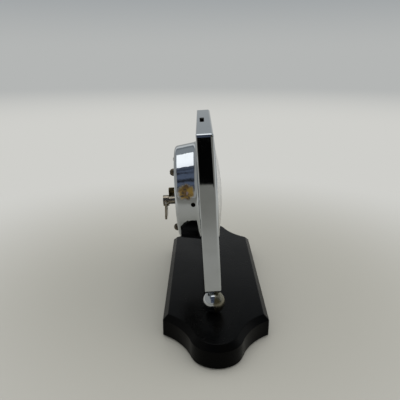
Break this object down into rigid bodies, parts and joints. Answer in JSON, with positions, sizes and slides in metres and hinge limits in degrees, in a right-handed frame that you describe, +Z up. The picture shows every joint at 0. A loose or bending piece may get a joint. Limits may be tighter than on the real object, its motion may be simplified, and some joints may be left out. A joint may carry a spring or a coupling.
{
  "type": "wind-up desk clock",
  "caption": "Chrome wind-up desk clock with a leaning slab case on ball feet, domed glass, rear can with folding winding key and set knob, on a black ogee-ended plinth.",
  "frame": {"origin": "middle of the plinth's underside, on the table", "axes": "+X along the width of the case, to the right of someone facing the dial; -Y the way the dial faces; +Z up"},
  "size_m": [0.226, 0.0804, 0.1507],
  "materials": {
    "chrome": "polished chrome plate",
    "black_lacquer": "satin black lacquer",
    "felt": "felt",
    "aged_brass": "tarnished brass",
    "brass": "polished brass",
    "steel": "brushed",
    "blued_steel": "blued spring steel",
    "dark_screw": "blackened",
    "glass": "clear",
    "dial_paint": "matt cream",
    "hand_paint": "satin black"
  },
  "bodies": {
    "case": {"base_block": "black_lacquer", "base_felt": "felt", "ball_left": "chrome", "ball_right": "chrome", "foot_screws": "steel", "foot_washers": "steel", "case_shell": "chrome", "corner_blocks": "brass", "back_plate": "chrome", "plate_screws": "steel", "top_screw": "dark_screw", "rear_can": "chrome", "back_screws": "dark_screw", "can_spacers": "brass", "bezel_ring": "chrome", "glass_dome": "glass", "glass_retainer": "brass", "dial": "dial_paint", "front_plate": "brass", "rear_plate": "brass", "pillars": "brass", "movement_screws": "steel", "minute_stud": "steel", "click_screw": "steel", "click_spring": "blued_steel", "hairspring": "blued_steel", "hairspring_stud": "steel"},
    "hands": {"minute_hand": "hand_paint", "hand_nut": "brass", "cannon_pinion": "steel", "centre_arbor": "steel", "set_knob": "aged_brass"},
    "hour": {"hour_wheel": "brass", "hour_hand": "hand_paint"},
    "minute": {"minute_wheel": "brass"},
    "winding": {"winding_arbor": "steel", "ratchet_wheel": "steel", "key_hub": "aged_brass", "key_pin": "steel"},
    "wing": {"key_wing": "aged_brass"},
    "click_arm": {"click": "steel"},
    "barrel_drum": {"barrel": "brass", "barrel_cover": "brass", "mainspring": "blued_steel"},
    "centre": {"centre_pinion": "steel", "centre_wheel": "brass"},
    "third": {"third_pinion": "steel", "third_wheel": "brass"},
    "fourth": {"fourth_pinion": "steel", "fourth_wheel": "brass"},
    "escape": {"escape_pinion": "steel", "escape_wheel": "brass"},
    "lever": {"pallet_lever": "steel"},
    "balance": {"balance_staff": "steel", "balance_wheel": "brass"}
  },
  "joints": [
    {"name": "hands_turn", "type": "hinge", "parent": "case", "child": "hands", "pos_m": [0, 0.0053, 0.09059], "axis": [0, 0.9983, -0.0576], "continuous": true},
    {"name": "minute_turn", "type": "hinge", "parent": "case", "child": "minute", "pos_m": [0, 0.00571, 0.09778], "axis": [0, 0.9983, -0.0576], "continuous": true},
    {"name": "hour_turn", "type": "hinge", "parent": "case", "child": "hour", "pos_m": [0, 0.0053, 0.09059], "axis": [0, 0.9983, -0.0576], "continuous": true},
    {"name": "key_wind", "type": "hinge", "parent": "case", "child": "winding", "pos_m": [-0.01607, 0.00518, 0.08851], "axis": [0, -0.9983, 0.0576], "range_deg": [0, 1350]},
    {"name": "wing_fold", "type": "hinge", "parent": "winding", "child": "wing", "pos_m": [-0.01607, 0.03887, 0.08657], "axis": [1, 0, 0], "range_deg": [-5, 175]},
    {"name": "click_lift", "type": "hinge", "parent": "case", "child": "click_arm", "pos_m": [-0.00967, 0.00557, 0.0953], "axis": [0, 0.9983, -0.0576], "range_deg": [0, 9], "stiffness_Nm_per_rad": 0.002, "springref_deg": -5.73},
    {"name": "escape_turn", "type": "hinge", "parent": "case", "child": "escape", "pos_m": [0.01482, 0.00506, 0.08641], "axis": [0, -0.9983, 0.0576], "continuous": true},
    {"name": "fourth_turn", "type": "hinge", "parent": "case", "child": "fourth", "pos_m": [0.01384, 0.0057, 0.0976], "axis": [0, -0.9983, 0.0576], "continuous": true},
    {"name": "third_turn", "type": "hinge", "parent": "case", "child": "third", "pos_m": [0.00408, 0.00617, 0.10578], "axis": [0, -0.9983, 0.0576], "continuous": true},
    {"name": "centre_turn", "type": "hinge", "parent": "case", "child": "centre", "pos_m": [0, 0.0053, 0.09059], "axis": [0, -0.9983, 0.0576], "continuous": true},
    {"name": "barrel_turn", "type": "hinge", "parent": "case", "child": "barrel_drum", "pos_m": [-0.01607, 0.00518, 0.08851], "axis": [0, -0.9983, 0.0576], "continuous": true},
    {"name": "lever_rock", "type": "hinge", "parent": "case", "child": "lever", "pos_m": [0.01116, 0.00469, 0.08007], "axis": [0, -0.9983, 0.0576], "range_deg": [-5, 5]},
    {"name": "balance_swing", "type": "hinge", "parent": "case", "child": "balance", "pos_m": [0.00548, 0.00412, 0.07026], "axis": [0, -0.9983, 0.0576], "range_deg": [-135, 135], "stiffness_Nm_per_rad": 0.000014}
  ],
  "couplings": [
    {"joint": "minute_turn", "follows": "hands_turn", "ratio": -0.33333},
    {"joint": "hour_turn", "follows": "hands_turn", "ratio": 0.083333},
    {"joint": "fourth_turn", "follows": "escape_turn", "ratio": -0.125},
    {"joint": "third_turn", "follows": "escape_turn", "ratio": 0.016667},
    {"joint": "centre_turn", "follows": "escape_turn", "ratio": -0.0020833},
    {"joint": "barrel_turn", "follows": "escape_turn", "ratio": 0.00026042}
  ]
}
